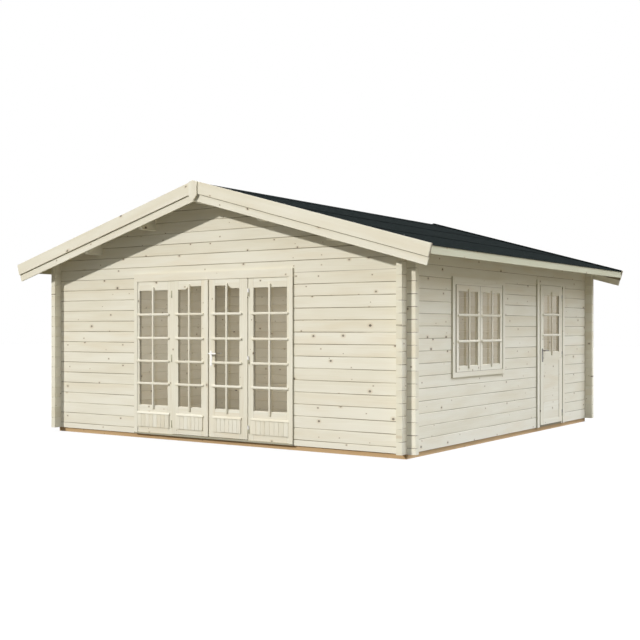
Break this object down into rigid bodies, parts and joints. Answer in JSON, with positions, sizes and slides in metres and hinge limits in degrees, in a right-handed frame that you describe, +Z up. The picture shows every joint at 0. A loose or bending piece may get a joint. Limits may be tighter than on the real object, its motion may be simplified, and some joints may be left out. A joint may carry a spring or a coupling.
{
  "type": "log cabin",
  "caption": "Timber log cabin with interlocking flat logs, low black felt gable roof, glazed double doors with sidelights, a side door and a small-paned window.",
  "frame": {"origin": "on the ground under the middle of the plan", "axes": "+X to the right seen from the glazed front, towards the side with the side door; +Y from the front to the back; +Z up"},
  "size_m": [6.3, 6.046, 3.1199],
  "materials": {
    "pine": "untreated planed pine, pale cream with knots",
    "impregnated_pine": "brown impregnated timber",
    "floor_pine": "planed floor boards",
    "sill_hardwood": "oiled hardwood sill",
    "roofing_felt": "mineral roofing felt, matt",
    "window_glass": "clear float glass",
    "zinc_steel": "zinc plated steel",
    "satin_steel": "satin steel"
  },
  "bodies": {
    "root": {"base_beams": "impregnated_pine", "floor_deck": "floor_pine", "front_wall_left": "pine", "front_wall_right": "pine", "front_gable": "pine", "back_wall": "pine", "left_wall": "pine", "right_wall_front": "pine", "right_wall_under_window": "pine", "right_wall_over_window": "pine", "right_wall_middle": "pine", "right_wall_over_door": "pine", "right_wall_rear": "pine", "right_wall_top": "pine", "purlins": "pine", "roof_boards_left": "pine", "roof_boards_right": "pine", "roof_felt_left": "roofing_felt", "roof_felt_right": "roofing_felt", "fascias": "pine", "bargeboards_front": "pine", "bargeboards_back": "pine", "apex_plates": "pine", "front_door_posts": "pine", "front_door_head": "pine", "front_door_sill": "sill_hardwood", "sidelight_left": "pine", "sidelight_right": "pine", "sidelight_glass": "window_glass", "window_frame": "pine", "window_sashes": "pine", "window_glass": "window_glass", "side_door_posts": "pine", "side_door_head": "pine", "side_door_sill": "sill_hardwood", "frame_hinges": "zinc_steel"},
    "front_leaf_left": {"front_door_left": "pine", "front_door_left_glass": "window_glass", "front_door_left_fittings": "zinc_steel"},
    "front_leaf_right": {"front_door_right": "pine", "front_door_right_glass": "window_glass", "front_door_right_fittings": "satin_steel"},
    "side_leaf": {"side_door_leaf": "pine", "side_door_glass": "window_glass", "side_door_fittings": "satin_steel"}
  },
  "joints": [
    {"name": "front_door_left_hinge", "type": "hinge", "parent": "root", "child": "front_leaf_left", "pos_m": [-0.612, -2.718, 1], "axis": [0, 0, -1], "range_deg": [0, 110]},
    {"name": "front_door_right_hinge", "type": "hinge", "parent": "root", "child": "front_leaf_right", "pos_m": [0.596, -2.718, 1], "axis": [0, 0, 1], "range_deg": [0, 110]},
    {"name": "side_door_hinge", "type": "hinge", "parent": "root", "child": "side_leaf", "pos_m": [2.718, 1.664, 1], "axis": [0, 0, 1], "range_deg": [0, 110]}
  ]
}
